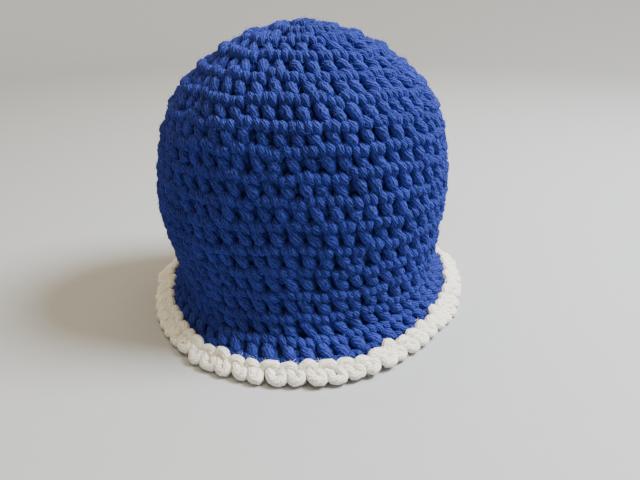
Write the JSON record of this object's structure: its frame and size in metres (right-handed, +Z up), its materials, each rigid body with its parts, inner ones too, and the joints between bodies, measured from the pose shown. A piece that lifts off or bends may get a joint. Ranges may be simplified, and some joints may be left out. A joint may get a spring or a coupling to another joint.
{
  "type": "crochet hat",
  "caption": "Hollow crocheted hat with a round crown, ribbed rounds and a flared brim with a looped edging, standing on its hem.",
  "frame": {"origin": "on the surface the hat stands on, under the middle of its outline", "axes": "+Z up through the top of the crown, the front of the hat towards -Y, +X to the right as seen from the front"},
  "size_m": [0.216, 0.2016, 0.1765],
  "materials": {
    "crown_yarn": "matte royal blue plied yarn, crocheted",
    "edging_yarn": "soft matte cream white yarn, crocheted loops"
  },
  "bodies": {
    "root": {"crown": "crown_yarn", "edging": "edging_yarn"}
  },
  "joints": []
}
